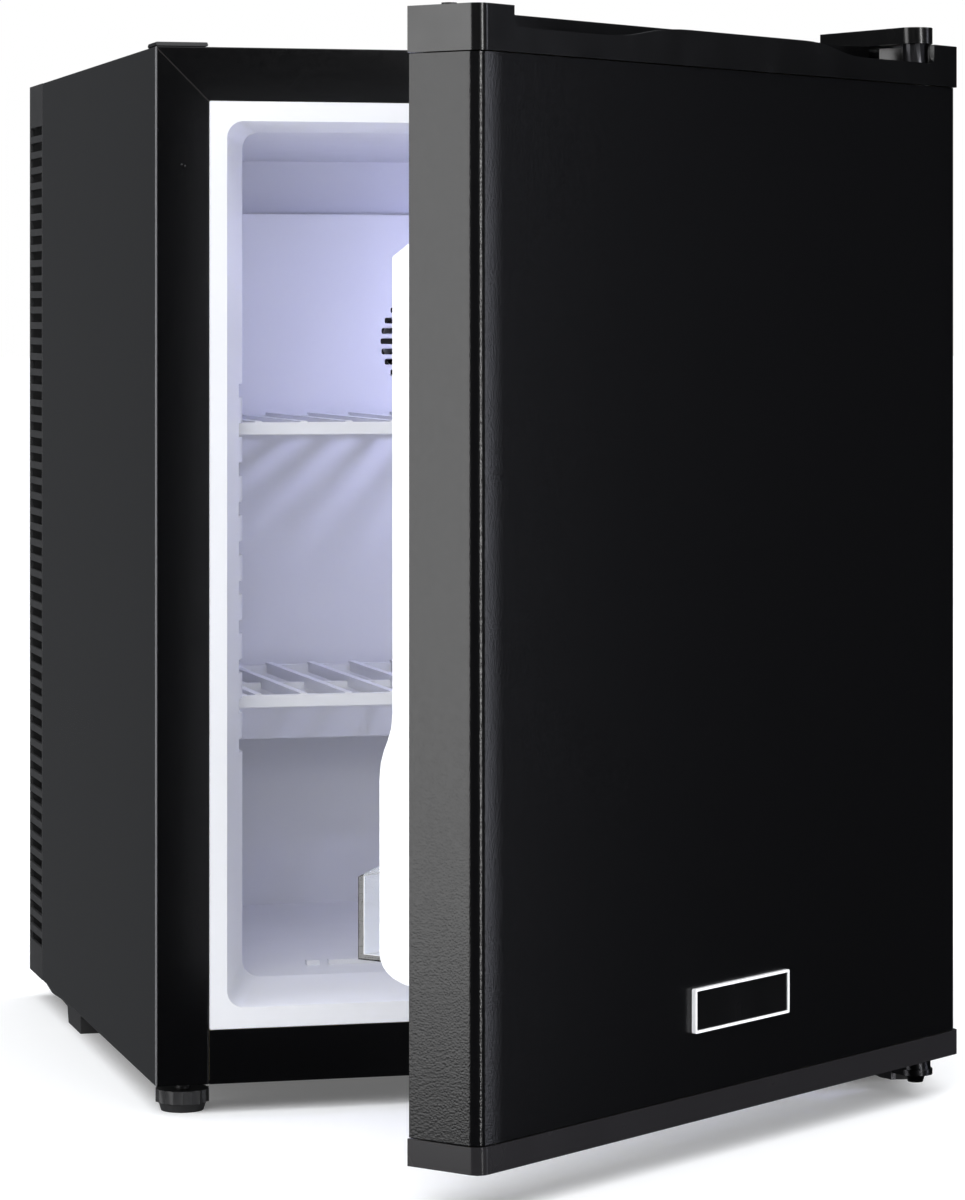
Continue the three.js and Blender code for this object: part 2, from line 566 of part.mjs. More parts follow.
const topHingeScrews = () =>
  HINGE_SCREWS.map((at, i) => screwDown(`top_hinge_screw_${i + 1}`, at, ARM.low + ARM.sheet, H - 12));

function bottomHingeBracket() {
  const plan = nosedPlan([[416, 20], [416, 56], [376, 56], [376, -10]], ARM.nose);
  const plate = raise(plan, -3 - GAP, -GAP, 10);
  const stiffener = raise(outline([[376, 6], [378.6, 6], [388, -38], [385.4, -38]]), -7, -1);
  const pin = postZ(PIN.x, PIN.y, PIN.radius, -3, 20);
  const collar = postZ(PIN.x, PIN.y, 8, -1, DOOR.bottom - GAP);
  const head = new THREE.CylinderGeometry(5.4, 4, 4.4, 18).rotateX(Math.PI / 2).translate(PIN.x, PIN.y, -5.2);
  const holes = BOTTOM_SCREWS.map(({ x, y }) => postZ(x, y, SCREW.hole, -5, 2, 14));
  const studHole = postZ(FEET.right, FOOT.y, FOOT.hole, -5, 2);
  const body = join(plate, stiffener, pin, collar, head);
  return part('bottom_hinge_bracket', cut(body, ...holes, studHole), LOOKS.zinc);
}

function bottomHingeScrews() {
  return BOTTOM_SCREWS.map(({ x, y }, i) => {
    const head = postZ(x, y, SCREW.head, -3 - 2 * GAP - SCREW.headHeight, -3 - 2 * GAP, 14);
    const shank = postZ(x, y, SCREW.shank, -4, 10, 14);
    return part(`bottom_hinge_screw_${i + 1}`, join(head, shank), LOOKS.zinc);
  });
}

function spareHingePlug() {
  const { width, depth, height } = PLUG;
  const top = H + GAP + height;
  const side = outline([[0.5, H + GAP], [depth, H + GAP], [depth - 3, top], [2.5, top]]);
  return part('spare_hinge_plug', runAcross(side, 0.5, width), LOOKS.blackPlastic);
}

// ---------------------------------------------------------------- shelves
function shelf(name, slot) {
  const z = RUNNER.first + RUNNER.pitch * slot;
  const { front, back, side, lip, slats, pitch, slatWidth } = SHELF;
  const bars = [
    box(side, W - side, front, front + 4, z - lip / 2, z + lip / 2),
    box(side, W - side, back - 5, back, z - 2.6, z + 2.6),
    box(side, side + 14, front, back, z - 2.6, z + 2.6),
    box(W - side - 14, W - side, front, back, z - 2.6, z + 2.6),
    box(side, W - side, (front + back) / 2 - 2, (front + back) / 2 + 2, z - 2.6, z + 1),
  ];
  for (let i = 0; i < slats; i += 1) {
    const x = W / 2 + (i - (slats - 1) / 2) * pitch;
    bars.push(box(x - slatWidth / 2, x + slatWidth / 2, front + 0.6, back - 1, z - 2, z + lip / 2 + 0.7));
  }
  return part(name, join(...bars), LOOKS.whitePlastic);
}

// ---------------------------------------------------------------- door
const SKIN = { x0: FREE + CAP_PROUD, x1: HINGED - CAP_PROUD, face: FACE + CAP_PROUD };

// plan of the door: round at its two front corners
function doorPlan(x0, x1, face, rear, radius) {
  const shape = new THREE.Shape();
  shape.moveTo(x1, rear);
  shape.lineTo(x0, rear);
  shape.absarc(x0 + radius, face + radius, radius, Math.PI, 1.5 * Math.PI);
  shape.absarc(x1 - radius, face + radius, radius, 1.5 * Math.PI, 2 * Math.PI);
  return shape;
}

const BUSH = { radius: 7, bore: 4.3 };

function doorPanel() {
  const { x0, x1, face } = SKIN;
  const outside = doorPlan(x0, x1, face, REAR, DOOR.corner);
  const inside = doorPlan(x0 + SHEET, x1 - SHEET, face + SHEET, REAR + OVER, DOOR.corner - SHEET);
  const skin = cut(
    raise(outside, BOTTOM_SEAM + GAP, TOP_SEAM - GAP, DOOR.cornerSteps),
    raise(inside, BOTTOM_SEAM - OVER, TOP_SEAM + OVER, DOOR.cornerSteps),
  );
  return part('door_panel', skin, LOOKS.blackSteel);
}

const LINER_PLATE = 2.2;

function doorFoam() {
  const margin = SHEET + GAP;
  const rear = REAR - LINER_PLATE - 2 * GAP;
  const { x0, x1, face } = SKIN;
  const plan = doorPlan(x0 + margin, x1 - margin, face + margin, rear, DOOR.corner - margin);
  const topPocket = postZ(0, 0, BUSH.radius + 1, 500, TOP_SEAM);
  const bottomPocket = postZ(0, 0, BUSH.radius + 1, 0, 30);
  const block = raise(plan, BOTTOM_SEAM + 2 * GAP, TOP_SEAM - 2 * GAP);
  return part('door_foam', cut(block, topPocket, bottomPocket), LOOKS.foam);
}

// the grip: a trough behind a front lip that is low at both ends and high in the middle
const GRIP = { floor: 518, low: 527, high: 533, wall: 3, free: FREE + 26, hinged: 1, deep: 14, notch: -1 };
const WAVE = { rise0: HINGED - 325, rise1: HINGED - 252, fall0: HINGED - 152, fall1: HINGED - 92 };

function gripCut() {
  const shape = new THREE.Shape();
  const above = DOOR.top + OVER;
  const round = 3;
  const rise = (WAVE.rise0 + WAVE.rise1) / 2;
  const fall = (WAVE.fall0 + WAVE.fall1) / 2;
  shape.moveTo(GRIP.hinged, above);
  shape.lineTo(GRIP.free, above);
  shape.absarc(GRIP.free + round, GRIP.low + round, round, Math.PI, 1.5 * Math.PI);
  shape.lineTo(WAVE.rise0, GRIP.low);
  shape.bezierCurveTo(rise, GRIP.low, rise, GRIP.high, WAVE.rise1, GRIP.high);
  shape.lineTo(WAVE.fall0, GRIP.high);
  shape.bezierCurveTo(fall, GRIP.high, fall, GRIP.low, WAVE.fall1, GRIP.low);
  shape.absarc(GRIP.hinged - round, GRIP.low + round, round, 1.5 * Math.PI, 2 * Math.PI);
  return runBack(shape, FACE - OVER, FACE + GRIP.wall + OVER, 12);
}

const SPARE = { x: FREE + 12, y: REAR - 15, radius: 3.6 };

function doorTopCap() {
  const above = DOOR.top + OVER;
  const plan = doorPlan(FREE, HINGED, FACE, REAR, DOOR.corner);
  const block = raise(plan, TOP_SEAM, DOOR.top, DOOR.cornerSteps);
  const trough = box(GRIP.free, GRIP.deep, FACE + GRIP.wall, REAR - GRIP.wall, GRIP.floor, above);
  const rearWall = REAR - GRIP.wall - OVER;
  const notch = box(GRIP.notch, GRIP.deep, rearWall, REAR + OVER, GRIP.floor + 3, above);
  const boss = postZ(0, 0, BUSH.radius + 3, GRIP.floor - 1, 526);
  const bore = postZ(0, 0, BUSH.radius + GAP, TOP_SEAM - OVER, 527);
  const spareHole = postZ(SPARE.x, SPARE.y, 2.4, DOOR.top - 8, above);
  const cap = cut(join(cut(block, trough, gripCut(), notch), boss), bore, spareHole);
  return part('door_top_cap', cap, LOOKS.blackPlastic);
}

function doorBottomCap() {
  const plan = doorPlan(FREE, HINGED, FACE, REAR, DOOR.corner);
  const block = raise(plan, DOOR.bottom, BOTTOM_SEAM, DOOR.cornerSteps);
  const bore = postZ(0, 0, BUSH.radius + GAP, 0, 20);
  return part('door_bottom_cap', cut(block, bore), LOOKS.blackPlastic);
}

function doorSparePlug() {
  const cap = postZ(SPARE.x, SPARE.y, SPARE.radius, DOOR.top + GAP, DOOR.top + 1.5);
  const stem = postZ(SPARE.x, SPARE.y, 2, DOOR.top - 7, DOOR.top + 1);
  return part('door_spare_plug', join(cap, stem), LOOKS.blackPlastic);
}

function hingeBush(name, z0, z1) {
  const bore = postZ(0, 0, BUSH.bore, z0 - OVER, z1 + OVER);
  return part(name, cut(postZ(0, 0, BUSH.radius, z0, z1), bore), LOOKS.whitePlastic);
}

const DYKE = { x0: -340, x1: -28, wall: 8, upper: 50, lower: 58 }; // stand-off of the inner side walls

const BIN = { x0: -323, x1: -45, wall: 2.4, floor: 84, lip: 124, back: 137, front: REAR + 85 };
const RACK_FRONT = REAR + DYKE.upper - 2;
const RACK = { inset: DYKE.wall + 0.6, wall: 2.4, floor: 262, lip: 300, back: 300.2, front: RACK_FRONT };

function dykeSide() {
  const base = REAR - 1;
  const upper = REAR + DYKE.upper;
  const lower = REAR + DYKE.lower;
  const shape = new THREE.Shape();
  shape.moveTo(base, 455);
  shape.lineTo(upper, 423);
  shape.lineTo(upper, 206);
  shape.bezierCurveTo(upper, 192, lower, 190, lower, 174);
  shape.lineTo(lower, 92);
  shape.quadraticCurveTo(lower, 82, lower - 14, 78);
  shape.lineTo(base, 70);
  return shape;
}

function doorLiner() {
  const plate = box(
    SKIN.x0 + SHEET + GAP, SKIN.x1 - SHEET - GAP, REAR - LINER_PLATE - GAP, REAR - GAP,
    BOTTOM_SEAM + 2 * GAP, TOP_SEAM - 2 * GAP,
  );
  const ring = runAcross(dykeSide(), DYKE.x0, DYKE.x1);
  const [left, right] = [DYKE.x0 + DYKE.wall, DYKE.x1 - DYKE.wall];
  const hollow = box(left, right, REAR + 0.2, REAR + 80, BIN.floor - GAP, 470);
  const ledges = [left - 1, right - 5].map((x) =>
    box(x, x + 6, REAR - 1, REAR + 40, RACK.floor - GAP - 4, RACK.floor - GAP));
  return part('door_liner', join(plate, cut(ring, hollow), ...ledges), LOOKS.whitePlastic);
}

const SEAL = { outer: 15, inner: 33, rear: REAR + 0.2, front: CABINET_FACE - 0.4 };

function doorGasket() {
  const { outer, inner, rear, front } = SEAL;
  const ring = box(FREE + outer, HINGED - outer, rear, front, DOOR.bottom + 8, TOP_SEAM + 4);
  const hole = box(
    FREE + inner, HINGED - inner, rear - OVER, front + OVER, DOOR.bottom + 26, TOP_SEAM - 14,
  );
  const edge = HINGED - outer;
  const taper = outline([[edge + 2, front - 4], [edge + 2, front + 2], [4, front + 2], [4, front]]);
  const relief = raise(taper, 0, H);
  return part('door_gasket', cut(ring, hole, relief), LOOKS.gasket);
}

const BADGE = { x0: -222, x1: -139.5, z0: 47.6, z1: 69.2 };

function badge() {
  const { x0, x1, z0, z1 } = BADGE;
  const front = SKIN.face - 2.6;
  const rim = cut(
    runBack(roundedRectangle(x0, x1, z0, z1, 0.8), front, SKIN.face - GAP),
    box(x0 + 1.3, x1 - 1.3, front - OVER, SKIN.face, z0 + 1.3, z1 - 1.3),
  );
  const field = box(x0 + 1.6, x1 - 1.6, front + 0.5, SKIN.face - GAP, z0 + 1.6, z1 - 1.6);
  return [part('badge_frame', rim, LOOKS.zinc), part('badge_plate', field, LOOKS.blackPlastic)];
}

// a clear tray: floor, front wall and two cheeks, open towards the door
function clearTray(name, { x0, x1, wall, floor, lip, back, front, dip }) {
  const start = REAR + 2;
  const cheek = outline([[start, floor], [front, floor], [front, lip], [dip, back], [start, back]]);
  const room = box(x0 + wall, x1 - wall, start - OVER, front - wall, floor + wall, back + OVER);
  return part(name, cut(runAcross(cheek, x0, x1), room), LOOKS.clearPlastic);
}

const bottleBin = () => clearTray('bottle_bin', { ...BIN, dip: REAR + 58 });

function upperRack() {
  const [x0, x1] = [DYKE.x0 + RACK.inset, DYKE.x1 - RACK.inset];
  return clearTray('upper_rack', { ...RACK, x0, x1, dip: RACK.front - 4 });
}

function door() {
  const group = new THREE.Group();
  group.add(
    doorPanel(), doorFoam(), doorTopCap(), doorBottomCap(), doorSparePlug(),
    hingeBush('top_hinge_bush', 505, 526.8), hingeBush('bottom_hinge_bush', DOOR.bottom + GAP, 24),
    doorLiner(), doorGasket(), ...badge(), bottleBin(), upperRack(),
  );
  group.position.set(PIN.x, PIN.y, 0);
  group.rotation.z = DOOR_AJAR;
  return group;
}

// ---------------------------------------------------------------- the whole fridge
const fridge = new THREE.Group();
fridge.add(
  outerShell(), frontBottomRail(), basePan(), rearPanel(), cabinetFoam(), innerLiner(),
  ductCover(), coldSink(), transferBlock(), peltierModule(), hotSink(),
  fanFrame('cold_fan_frame', FAN.cold), fanRotor('cold_fan_rotor', FAN.cold),
  fanFrame('hot_fan_frame', FAN.hot), fanRotor('hot_fan_rotor', FAN.hot),
  rearCover(), ...rearCoverScrews(), powerInlet(), ...inletPins(), powerSupply(),
  controlHousing(), lampLens(), lampBoard(), thermostatKnob(), lampSwitch(),
  ...Object.entries(FEET).flatMap(([side, x]) => [frontFoot(side, x), footNut(side, x), rearFoot(side, x)]),
  topHingeBracket(), topHingeCover(), ...topHingeScrews(),
  bottomHingeBracket(), ...bottomHingeScrews(), spareHingePlug(),
  shelf('upper_shelf', UPPER_SHELF_SLOT), shelf('lower_shelf', LOWER_SHELF_SLOT),
  door(),
);

// the origin is the middle of the whole footprint, door ajar, at ground level
const bounds = new THREE.Box3().setFromObject(fridge, true);
fridge.position.set(-(bounds.min.x + bounds.max.x) / 2, -(bounds.min.y + bounds.max.y) / 2, -bounds.min.z);

export default fridge;
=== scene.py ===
"""A black table-top mini fridge with its door ajar: finishes, small parts, light and camera.

Metres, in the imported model's own frame: +X towards the door's hinge side, +Y towards the rear
cover, +Z up. Every size below is read from the CAD nodes or named here.
"""

import json
import math

import bmesh
import bpy
from mathutils import Matrix, Vector


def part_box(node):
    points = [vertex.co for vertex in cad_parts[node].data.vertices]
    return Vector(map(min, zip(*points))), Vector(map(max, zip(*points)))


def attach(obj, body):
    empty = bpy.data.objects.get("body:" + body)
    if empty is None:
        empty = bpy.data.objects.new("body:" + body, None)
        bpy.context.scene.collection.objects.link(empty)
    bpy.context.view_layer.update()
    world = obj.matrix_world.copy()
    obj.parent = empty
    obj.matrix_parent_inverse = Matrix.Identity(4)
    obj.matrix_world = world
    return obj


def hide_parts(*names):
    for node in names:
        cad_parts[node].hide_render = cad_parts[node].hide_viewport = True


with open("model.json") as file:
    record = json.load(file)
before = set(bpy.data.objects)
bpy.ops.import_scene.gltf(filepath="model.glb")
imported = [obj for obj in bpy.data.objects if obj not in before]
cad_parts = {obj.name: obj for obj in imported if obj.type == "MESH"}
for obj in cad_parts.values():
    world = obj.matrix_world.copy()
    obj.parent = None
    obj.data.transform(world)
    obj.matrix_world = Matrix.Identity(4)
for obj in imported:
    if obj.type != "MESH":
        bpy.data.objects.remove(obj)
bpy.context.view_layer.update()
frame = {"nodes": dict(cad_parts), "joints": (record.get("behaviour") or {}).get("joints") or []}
nodes = frame["nodes"]

MM = 0.001
DOOR_AJAR = math.radians(38.1)
HINGE = Vector(next(joint["pos_m"] for joint in frame["joints"] if joint["name"] == "door_hinge"))
DOOR_PLACE = Matrix.Translation(HINGE) @ Matrix.Rotation(DOOR_AJAR, 4, "Z")

# ---------------------------------------------------------------- camera
PICTURE = (965, 1200)
FOCAL_PX = 4383.5  # focal length over the picture's long side
HORIZON_PX = 315.7  # height of the horizon in the picture
CAMERA_AT = Vector((-0.6189, -2.2799, 0.4099))
CAMERA_TURN = 0.2558  # radians to the right of straight on
SENSOR_MM = 36


def add_camera():
    data = bpy.data.cameras.new("camera")
    data.sensor_width = SENSOR_MM
    data.lens = FOCAL_PX * SENSOR_MM / max(PICTURE)
    data.shift_y = (HORIZON_PX - PICTURE[1] / 2) / max(PICTURE)
    data.clip_start = 0.02
    data.clip_end = 100
    camera = bpy.data.objects.new("camera", data)
    camera.location = CAMERA_AT
    camera.rotation_euler = (math.pi / 2, 0, -CAMERA_TURN)
    bpy.context.scene.collection.objects.link(camera)
    bpy.context.scene.camera = camera


add_camera()


# ---------------------------------------------------------------- material kit
MIX_COLOUR_A, MIX_COLOUR_B, MIX_COLOUR_RESULT = 6, 7, 2  # a Mix node's sockets for colours


class Look:
    """A Principled material and the few nodes that its detail is drawn with."""

    def __init__(self, name, colour, roughness, metallic=0.0, **sockets):
        self.material = bpy.data.materials.new(name)
        self.material.use_nodes = True
        self.nodes = self.material.node_tree.nodes
        self.links = self.material.node_tree.links
        self.shader = self.nodes["Principled BSDF"]
        self.shader.inputs["Base Color"].default_value = (*colour, 1)
        self.shader.inputs["Roughness"].default_value = roughness
        self.shader.inputs["Metallic"].default_value = metallic
        for socket, value in sockets.items():
            self.shader.inputs[socket.replace("_", " ")].default_value = value
        self.place = self.nodes.new("ShaderNodeTexCoord").outputs["Object"]
        self.height = None

    def set(self, socket, source):
        self.links.new(source, self.shader.inputs[socket])

    def node(self, kind, **settings):
        made = self.nodes.new(kind)
        for key, value in settings.items():
            setattr(made, key, value)
        return made

    def stretched(self, scale):
        mapping = self.node("ShaderNodeMapping")
        mapping.inputs["Scale"].default_value = scale
        self.links.new(self.place, mapping.inputs["Vector"])
        return mapping.outputs["Vector"]

    def noise(self, size, detail=3.0, rough=0.5, stretch=None):
        """Cloudy values about 0.5, whose blotches are size metres across."""
        made = self.node("ShaderNodeTexNoise")
        made.inputs["Scale"].default_value = 1 / size
        made.inputs["Detail"].default_value = detail
        made.inputs["Roughness"].default_value = rough
        self.links.new(self.stretched(stretch) if stretch else self.place, made.inputs["Vector"])
        return made.outputs["Fac"]

    def cells(self, size):
        """Distance to the nearest of many scattered points, size metres apart."""
        made = self.node("ShaderNodeTexVoronoi")
        made.inputs["Scale"].default_value = 1 / size
        self.links.new(self.place, made.inputs["Vector"])
        return made.outputs["Distance"]

    def spread(self, value, low, high, start=0.3, end=0.7):
        made = self.node("ShaderNodeMapRange")
        self.links.new(value, made.inputs["Value"])
        made.inputs["From Min"].default_value = start
        made.inputs["From Max"].default_value = end
        made.inputs["To Min"].default_value = low
        made.inputs["To Max"].default_value = high
        return made.outputs["Result"]

    def math(self, operation, a, b=0.0):
        made = self.node("ShaderNodeMath", operation=operation)
        for socket, value in zip(made.inputs, (a, b)):
            if isinstance(value, (int, float)):
                socket.default_value = value
            else:
                self.links.new(value, socket)
        return made.outputs["Value"]

    def axes(self, source=None):
        made = self.node("ShaderNodeSeparateXYZ")
        self.links.new(source or self.place, made.inputs["Vector"])
        return made.outputs

    def tint(self, share, colour_a, colour_b):
        made = self.node("ShaderNodeMix", data_type="RGBA")
        self.links.new(share, made.inputs["Factor"])
        for slot, colour in ((MIX_COLOUR_A, colour_a), (MIX_COLOUR_B, colour_b)):
            if isinstance(colour, tuple):
                made.inputs[slot].default_value = (*colour, 1)
            else:
                self.links.new(colour, made.inputs[slot])
        return made.outputs[MIX_COLOUR_RESULT]

    def bump(self, value, depth, strength=1.0):
        """Adds relief, depth metres from a value of 0 to a value of 1, over any that is there."""
        made = self.node("ShaderNodeBump")
        made.inputs["Strength"].default_value = strength
        made.inputs["Distance"].default_value = depth
        self.links.new(value, made.inputs["Height"])
        if self.height is not None:
            self.links.new(self.height, made.inputs["Normal"])
        self.height = made.outputs["Normal"]
        self.set("Normal", self.height)


def wear(look, low, high, size=0.05):
    """Roughness that drifts, as handled and wiped surfaces show."""
    look.set("Roughness", look.spread(look.noise(size, detail=6), low, high))


# ---------------------------------------------------------------- materials
def pebbled_steel(name, tone, grain, depth, gloss, **sockets):
    """Powder-coated sheet: small rounded pebbles with a faint fleck."""
    look = Look(name, tone, gloss[0], **sockets)
    pebbles = look.spread(look.cells(grain), 1.0, 0.0, start=0.0, end=0.75)
    grit = look.noise(grain * 0.6, detail=4, rough=0.6)
    fleck = look.spread(grit, 0.0, 1.0, start=0.5, end=0.75)
    look.set("Base Color", look.tint(fleck, tone, tuple(c * 1.7 for c in tone)))
    look.bump(pebbles, depth)
    look.bump(grit, depth * 0.5)
    look.set("Roughness", look.spread(look.noise(grain * 3, detail=2), *gloss))
    return look


def moulded(name, tone, gloss, depth=0.000006, grain=0.0012, shade=0.97, **sockets):
    """Injection moulding: a fine even skin, with a very slow drift in tone."""
    look = Look(name, tone, gloss[0], **sockets)
    look.bump(look.noise(grain, detail=3), depth)
    dusk = tuple(c * shade for c in tone)
    look.set("Base Color", look.tint(look.spread(look.noise(0.09, detail=1), 0, 1), dusk, tone))
    look.set("Roughness", look.spread(look.noise(0.03, detail=2), *gloss))
    return look


def plated(name, tone, gloss, stretch, grain=0.0004):
    """Metal with a drawn grain along one axis and a slow mottle."""
    look = Look(name, tone, gloss[0], metallic=1.0)
    lines = look.noise(grain, detail=3, stretch=stretch)
    look.bump(lines, 0.00001)
    mottle = look.spread(look.noise(0.004, detail=5), 0, 1)
    look.set("Base Color", look.tint(mottle, tuple(c * 0.7 for c in tone), tone))
    look.set("Roughness", look.spread(lines, *gloss))
    return look


SEAM_WIDTH = 0.00045  # to either side of the seam's middle
SEAM_DEPTH = 0.0004
SEAM_TONE = (0.018, 0.016, 0.016)
FACES_FRONT = -0.9  # Y of the normal, below which a face belongs to the front frame
# the painted highlight along the front frame's two upright folds: its reach from the fold, and its pale
# tone
FOLD_HIGHLIGHT_WIDTH = 0.0009
FOLD_HIGHLIGHT_TONE = (0.12, 0.12, 0.124)


def from_nearer_side(look, low, high, x):
    """Distance from the nearer of a node's left and right sides."""
    middle, half = (low.x + high.x) / 2, (high.x - low.x) / 2
    return look.math("SUBTRACT", half, look.math("ABSOLUTE", look.math("SUBTRACT", x, middle)))


def mitred(look, node):
    """Draws the folded sheet's mitre seams on the top corners of the front frame."""
    low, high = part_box(node)
    x, _, z = look.axes()
    from_side = from_nearer_side(look, low, high, x)
    from_top = look.math("SUBTRACT", high.z, z)
    off_seam = look.math("ABSOLUTE", look.math("SUBTRACT", from_side, from_top))
    facing = look.node("ShaderNodeNewGeometry").outputs["True Normal"]
    front = look.math("LESS_THAN", look.axes(facing)[1], FACES_FRONT)
    seam = look.math("MULTIPLY", look.math("LESS_THAN", off_seam, SEAM_WIDTH), front)
    base = look.shader.inputs["Base Color"].links[0].from_socket
    look.set("Base Color", look.tint(seam, base, SEAM_TONE))
    look.bump(look.math("SUBTRACT", 1.0, seam), SEAM_DEPTH)


def painted_fold_highlights(look, node):
    """Paints a thin pale line along the front frame's two upright folds: a painted highlight, where the
    folded edge catches the light.
    """
    low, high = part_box(node)
    x, y, _ = look.axes()
    from_side = from_nearer_side(look, low, high, x)
    off_edge = look.math("ADD", from_side, look.math("SUBTRACT", y, low.y))
    fold_highlight = look.math("LESS_THAN", off_edge, FOLD_HIGHLIGHT_WIDTH)
    base = look.shader.inputs["Base Color"].links[0].from_socket
    look.set("Base Color", look.tint(fold_highlight, base, FOLD_HIGHLIGHT_TONE))


PAINT = (0.002, 0.002, 0.0023)
SHELL = pebbled_steel("shell_paint", PAINT, 0.0009, 0.000006, (0.17, 0.2), Specular_IOR_Level=0.25)
mitred(SHELL, "outer_shell")
# a painted highlight along the front frame's upright folds
painted_fold_highlights(SHELL, "outer_shell")
DOOR_SKIN = pebbled_steel("door_paint", PAINT, 0.0011, 0.00004, (0.2, 0.23), Specular_IOR_Level=0.3)
RAIL = pebbled_steel("rail_paint", PAINT, 0.0009, 0.000006, (0.17, 0.2), Specular_IOR_Level=0.25)
BLACK = moulded("black_moulding", (0.002, 0.002, 0.0022), (0.22, 0.28), Specular_IOR_Level=0.39)
# the bottom cap and its plug are the top cap's black moulding painted lighter: a painted reflection of
# the white floor, which gloss on the fridge doesn't pick up
LOWER_CAP_FLOOR_REFLECTION = moulded("lower_cap_painted_floor_reflection", (0.014, 0.0133, 0.0147), (0.22, 0.28), Specular_IOR_Level=0.24)
COVER = moulded("cover_moulding", (0.028, 0.028, 0.029), (0.36, 0.46), depth=0.00002)
WHITE = moulded("white_moulding", (0.82, 0.825, 0.85), (0.3, 0.4), Coat_Weight=0.1, Coat_Roughness=0.2)
GASKET = moulded("gasket_vinyl", (0.62, 0.63, 0.66), (0.5, 0.62), depth=0.00003)
CLEAR = Look("clear_moulding", (0.93, 0.96, 0.98), 0.06, Transmission_Weight=1.0, IOR=1.49)
CLEAR.bump(CLEAR.noise(0.02, detail=2), 0.00006)
wear(CLEAR, 0.03, 0.12)
LENS = Look("lamp_lens", (0.86, 0.86, 0.95), 0.35, Transmission_Weight=0.5, Emission_Strength=2.0)
LENS.shader.inputs["Emission Color"].default_value = (0.66, 0.64, 1.0, 1)
LENS.bump(LENS.noise(0.003, detail=1, stretch=(1, 0.1, 1)), 0.0002)
ZINC = plated("zinc_plate", (0.62, 0.63, 0.65), (0.22, 0.4), (1, 8, 8))
DOTS = moulded("dot_paint", (0.02, 0.02, 0.021), (0.3, 0.4))
BLACK_ZINC = plated("black_zinc_plate", (0.05, 0.05, 0.054), (0.24, 0.38), (1, 8, 8))
BRIGHT = moulded("badge_silver", (0.9, 0.9, 0.92), (0.25, 0.35), Coat_Weight=0.4, Coat_Roughness=0.1)
FINS = plated("mill_aluminium", (0.72, 0.73, 0.75), (0.3, 0.46), (8, 8, 1))
BRASS = plated("pin_brass", (0.78, 0.6, 0.3), (0.2, 0.34), (8, 1, 8))
CERAMIC = moulded("ceramic", (0.8, 0.79, 0.74), (0.55, 0.7), depth=0.00004)
FOAM = moulded("rigid_foam", (0.74, 0.64, 0.36), (0.8, 0.95), depth=0.0003, grain=0.002)

FINISH = {
    SHELL: ("outer_shell",),
    RAIL: ("front_bottom_rail", "base_pan", "rear_panel"),
    BLACK: (
        "door_top_cap", "top_hinge_cover", "spare_hinge_plug", "badge_plate", "cold_fan_frame",
        "cold_fan_rotor",
    ),
    # the black moulding, lighter by a painted floor reflection
    LOWER_CAP_FLOOR_REFLECTION: ("door_bottom_cap", "door_spare_plug"),
    COVER: (
        "rear_cover", "power_inlet", "front_foot_left", "front_foot_right", "rear_foot_left",
        "rear_foot_right", "hot_fan_frame", "hot_fan_rotor",
    ),
    WHITE: (
        "inner_liner", "duct_cover", "control_housing", "thermostat_knob", "lamp_switch", "door_liner",
        "upper_shelf", "lower_shelf", "top_hinge_bush", "bottom_hinge_bush",
    ),
    CLEAR: ("bottle_bin", "upper_rack"),
    LENS: ("lamp_lens",),
    BLACK_ZINC: (
        "top_hinge_bracket", "bottom_hinge_bracket", "top_hinge_screw_1", "top_hinge_screw_2",
        "bottom_hinge_screw_1", "bottom_hinge_screw_2",
    ),
    ZINC: (
        "foot_nut_left", "foot_nut_right",
        "rear_cover_screw_1", "rear_cover_screw_2", "rear_cover_screw_3", "rear_cover_screw_4",
    ),
    BRIGHT: ("badge_frame",),
    FINS: ("cold_sink", "hot_sink", "transfer_block", "power_supply"),
    BRASS: ("inlet_pin_earth", "inlet_pin_live", "inlet_pin_neutral"),
    CERAMIC: ("peltier_module", "lamp_board"),
    FOAM: ("cabinet_foam", "door_foam"),
}


def paint(piece, look):
    piece.data.materials.clear()
    piece.data.materials.append(look.material)


# ---------------------------------------------------------------- edges
WELD_WITHIN = 1e-5
SMOOTH_UP_TO = math.radians(32)
EDGES = {  # width of the softened edge, in metres
    "outer_shell": 0.0007, "front_bottom_rail": 0.0006, "door_top_cap": 0.0012,
    "door_bottom_cap": 0.0012, "door_liner": 0.0016, "inner_liner": 0.0009, "duct_cover": 0.0008,
    "control_housing": 0.001, "top_hinge_cover": 0.0012, "spare_hinge_plug": 0.0008,
    "badge_frame": 0.0003, "bottle_bin": 0.0007, "upper_rack": 0.0007, "upper_shelf": 0.0007,
    "lower_shelf": 0.0007, "rear_cover": 0.0005, "front_foot_left": 0.0005, "front_foot_right": 0.0005,
    "rear_foot_left": 0.0008, "rear_foot_right": 0.0008, "thermostat_knob": 0.0007,
    "lamp_switch": 0.0005, "power_inlet": 0.0004, "top_hinge_bracket": 0.0004,
    "bottom_hinge_bracket": 0.0004, "power_supply": 0.0006,
}


def soften(piece, width):
    """Rounds a moulding's or a folded sheet's sharp edges, so that they catch the light."""
    weld = piece.modifiers.new("weld", "WELD")
    weld.merge_threshold = WELD_WITHIN
    bevel = piece.modifiers.new("edge", "BEVEL")
    bevel.width = width
    bevel.segments = 2
    bevel.limit_method = "ANGLE"
    bevel.angle_limit = SMOOTH_UP_TO
    bevel.miter_outer = "MITER_ARC"
    bevel.use_clamp_overlap = True


for look, names in FINISH.items():
    for name in names:
        paint(nodes[name], look)
for name, width in EDGES.items():
    soften(nodes[name], width)


